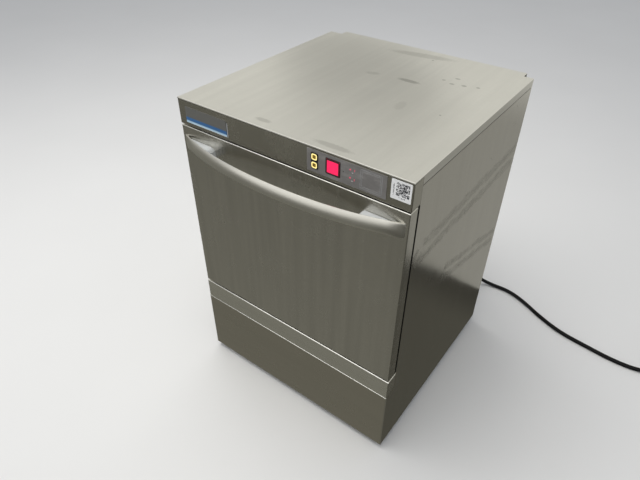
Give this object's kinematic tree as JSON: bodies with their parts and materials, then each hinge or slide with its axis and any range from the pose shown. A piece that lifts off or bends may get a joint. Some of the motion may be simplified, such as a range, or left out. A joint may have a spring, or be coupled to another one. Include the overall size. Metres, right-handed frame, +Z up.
{
  "type": "undercounter commercial dishwasher",
  "caption": "Front-loading undercounter commercial dishwasher in brushed steel: drop-down door with a full-width bowed handle, lit push keys, spinning spray arms and a black supply cable.",
  "frame": {"origin": "on the floor under the middle of the machine", "axes": "+Z up, -Y towards the user at the front, +X to the user's right as the user faces the door"},
  "size_m": [1.331, 1.0122, 0.83],
  "materials": {
    "panel_steel": "brushed, slightly worn",
    "lid_steel": "satin, smudged",
    "handle_steel": "fine satin",
    "chamber_steel": "smooth rolled",
    "frame_steel": "galvanised",
    "plain_steel": "bright zinc",
    "film": "satin printed film",
    "badge": "printed plate",
    "label": "paper sticker",
    "start_key": "lit translucent",
    "small_keys": "dark with a lit ring",
    "filler_plastic": "light grey moulded",
    "grey_plastic": "moulded",
    "seal_rubber": "matte",
    "motor_paint": "satin",
    "rotor_steel": "turned",
    "valve_brass": "machined",
    "board": "solder mask",
    "gland_plastic": "moulded",
    "cable_rubber": "matte",
    "plug_plastic": "moulded",
    "foot_plastic": "moulded"
  },
  "bodies": {
    "cabinet": {"base_frame": "frame_steel", "side_panel_right": "panel_steel", "side_panel_left": "panel_steel", "rear_panel": "panel_steel", "panel_screws": "plain_steel", "top_cover": "lid_steel", "control_fascia": "panel_steel", "control_film": "film", "badge_plate": "badge", "asset_label": "label", "door_sill_strip": "panel_steel", "kick_panel": "panel_steel", "front_frame": "chamber_steel", "hinge_pins": "plain_steel", "door_seal": "seal_rubber", "chamber_wall_right": "chamber_steel", "chamber_wall_left": "chamber_steel", "chamber_wall_rear": "chamber_steel", "chamber_ceiling": "chamber_steel", "tank_basin": "chamber_steel", "rack_rail_right": "chamber_steel", "rack_rail_left": "chamber_steel", "basin_strainer": "chamber_steel", "filter_cylinder": "grey_plastic", "tank_heater": "chamber_steel", "lower_arm_post": "grey_plastic", "upper_arm_post": "grey_plastic", "wash_manifold": "grey_plastic", "wash_pump_housing": "grey_plastic", "wash_pump_motor": "motor_paint", "suction_elbow": "seal_rubber", "drain_pump": "grey_plastic", "drain_hose": "seal_rubber", "rinse_boiler": "chamber_steel", "water_inlet_valve": "valve_brass", "dosing_pumps": "grey_plastic", "control_box": "frame_steel", "circuit_board": "board", "cable_gland": "gland_plastic", "supply_cable": "cable_rubber", "cable_coil": "cable_rubber", "plug": "plug_plastic"},
    "door": {"door_outer_panel": "panel_steel", "door_inner_panel": "chamber_steel", "door_hinge_plates": "frame_steel", "hinge_springs": "plain_steel", "handle_bow": "handle_steel", "handle_fillers": "filler_plastic"},
    "lower_wash": {"lower_wash_arm": "chamber_steel"},
    "lower_rinse": {"lower_rinse_arm": "chamber_steel"},
    "upper_wash": {"upper_wash_arm": "chamber_steel"},
    "upper_rinse": {"upper_rinse_arm": "chamber_steel"},
    "pump_rotor": {"wash_pump_rotor": "rotor_steel"},
    "start_button": {"start_key": "start_key"},
    "upper_button": {"upper_key": "small_keys"},
    "lower_button": {"lower_key": "small_keys"},
    "leg_front_left": {"foot_front_left": "foot_plastic"},
    "leg_front_right": {"foot_front_right": "foot_plastic"},
    "leg_rear_left": {"foot_rear_left": "foot_plastic"},
    "leg_rear_right": {"foot_rear_right": "foot_plastic"}
  },
  "joints": [
    {"name": "door_hinge", "type": "hinge", "parent": "cabinet", "child": "door", "pos_m": [0, -0.27, 0.297], "axis": [1, 0, 0], "range_deg": [0, 90], "stiffness_Nm_per_rad": 5, "springref_deg": -17.19},
    {"name": "lower_wash_spin", "type": "hinge", "parent": "cabinet", "child": "lower_wash", "pos_m": [0, 0.008, 0.278], "axis": [0, 0, 1], "continuous": true},
    {"name": "lower_rinse_spin", "type": "hinge", "parent": "cabinet", "child": "lower_rinse", "pos_m": [0, 0.008, 0.298], "axis": [0, 0, 1], "continuous": true},
    {"name": "upper_wash_spin", "type": "hinge", "parent": "cabinet", "child": "upper_wash", "pos_m": [0, 0.008, 0.745], "axis": [0, 0, 1], "continuous": true},
    {"name": "upper_rinse_spin", "type": "hinge", "parent": "cabinet", "child": "upper_rinse", "pos_m": [0, 0.008, 0.725], "axis": [0, 0, 1], "continuous": true},
    {"name": "pump_rotor_spin", "type": "hinge", "parent": "cabinet", "child": "pump_rotor", "pos_m": [-0.15, -0.06, 0.112], "axis": [1, 0, 0], "continuous": true},
    {"name": "start_key_press", "type": "slide", "parent": "cabinet", "child": "start_button", "axis": [0, 1, 0], "range_m": [0, 0.0015], "stiffness_N_per_m": 900, "springref_m": -0.001},
    {"name": "upper_key_press", "type": "slide", "parent": "cabinet", "child": "upper_button", "axis": [0, 1, 0], "range_m": [0, 0.0015], "stiffness_N_per_m": 500, "springref_m": -0.001},
    {"name": "lower_key_press", "type": "slide", "parent": "cabinet", "child": "lower_button", "axis": [0, 1, 0], "range_m": [0, 0.0015], "stiffness_N_per_m": 500, "springref_m": -0.001},
    {"name": "foot_front_left_screw", "type": "slide", "parent": "cabinet", "child": "leg_front_left", "axis": [0, 0, -1], "range_m": [0, 0.015]},
    {"name": "foot_front_right_screw", "type": "slide", "parent": "cabinet", "child": "leg_front_right", "axis": [0, 0, -1], "range_m": [0, 0.015]},
    {"name": "foot_rear_left_screw", "type": "slide", "parent": "cabinet", "child": "leg_rear_left", "axis": [0, 0, -1], "range_m": [0, 0.015]},
    {"name": "foot_rear_right_screw", "type": "slide", "parent": "cabinet", "child": "leg_rear_right", "axis": [0, 0, -1], "range_m": [0, 0.015]}
  ]
}
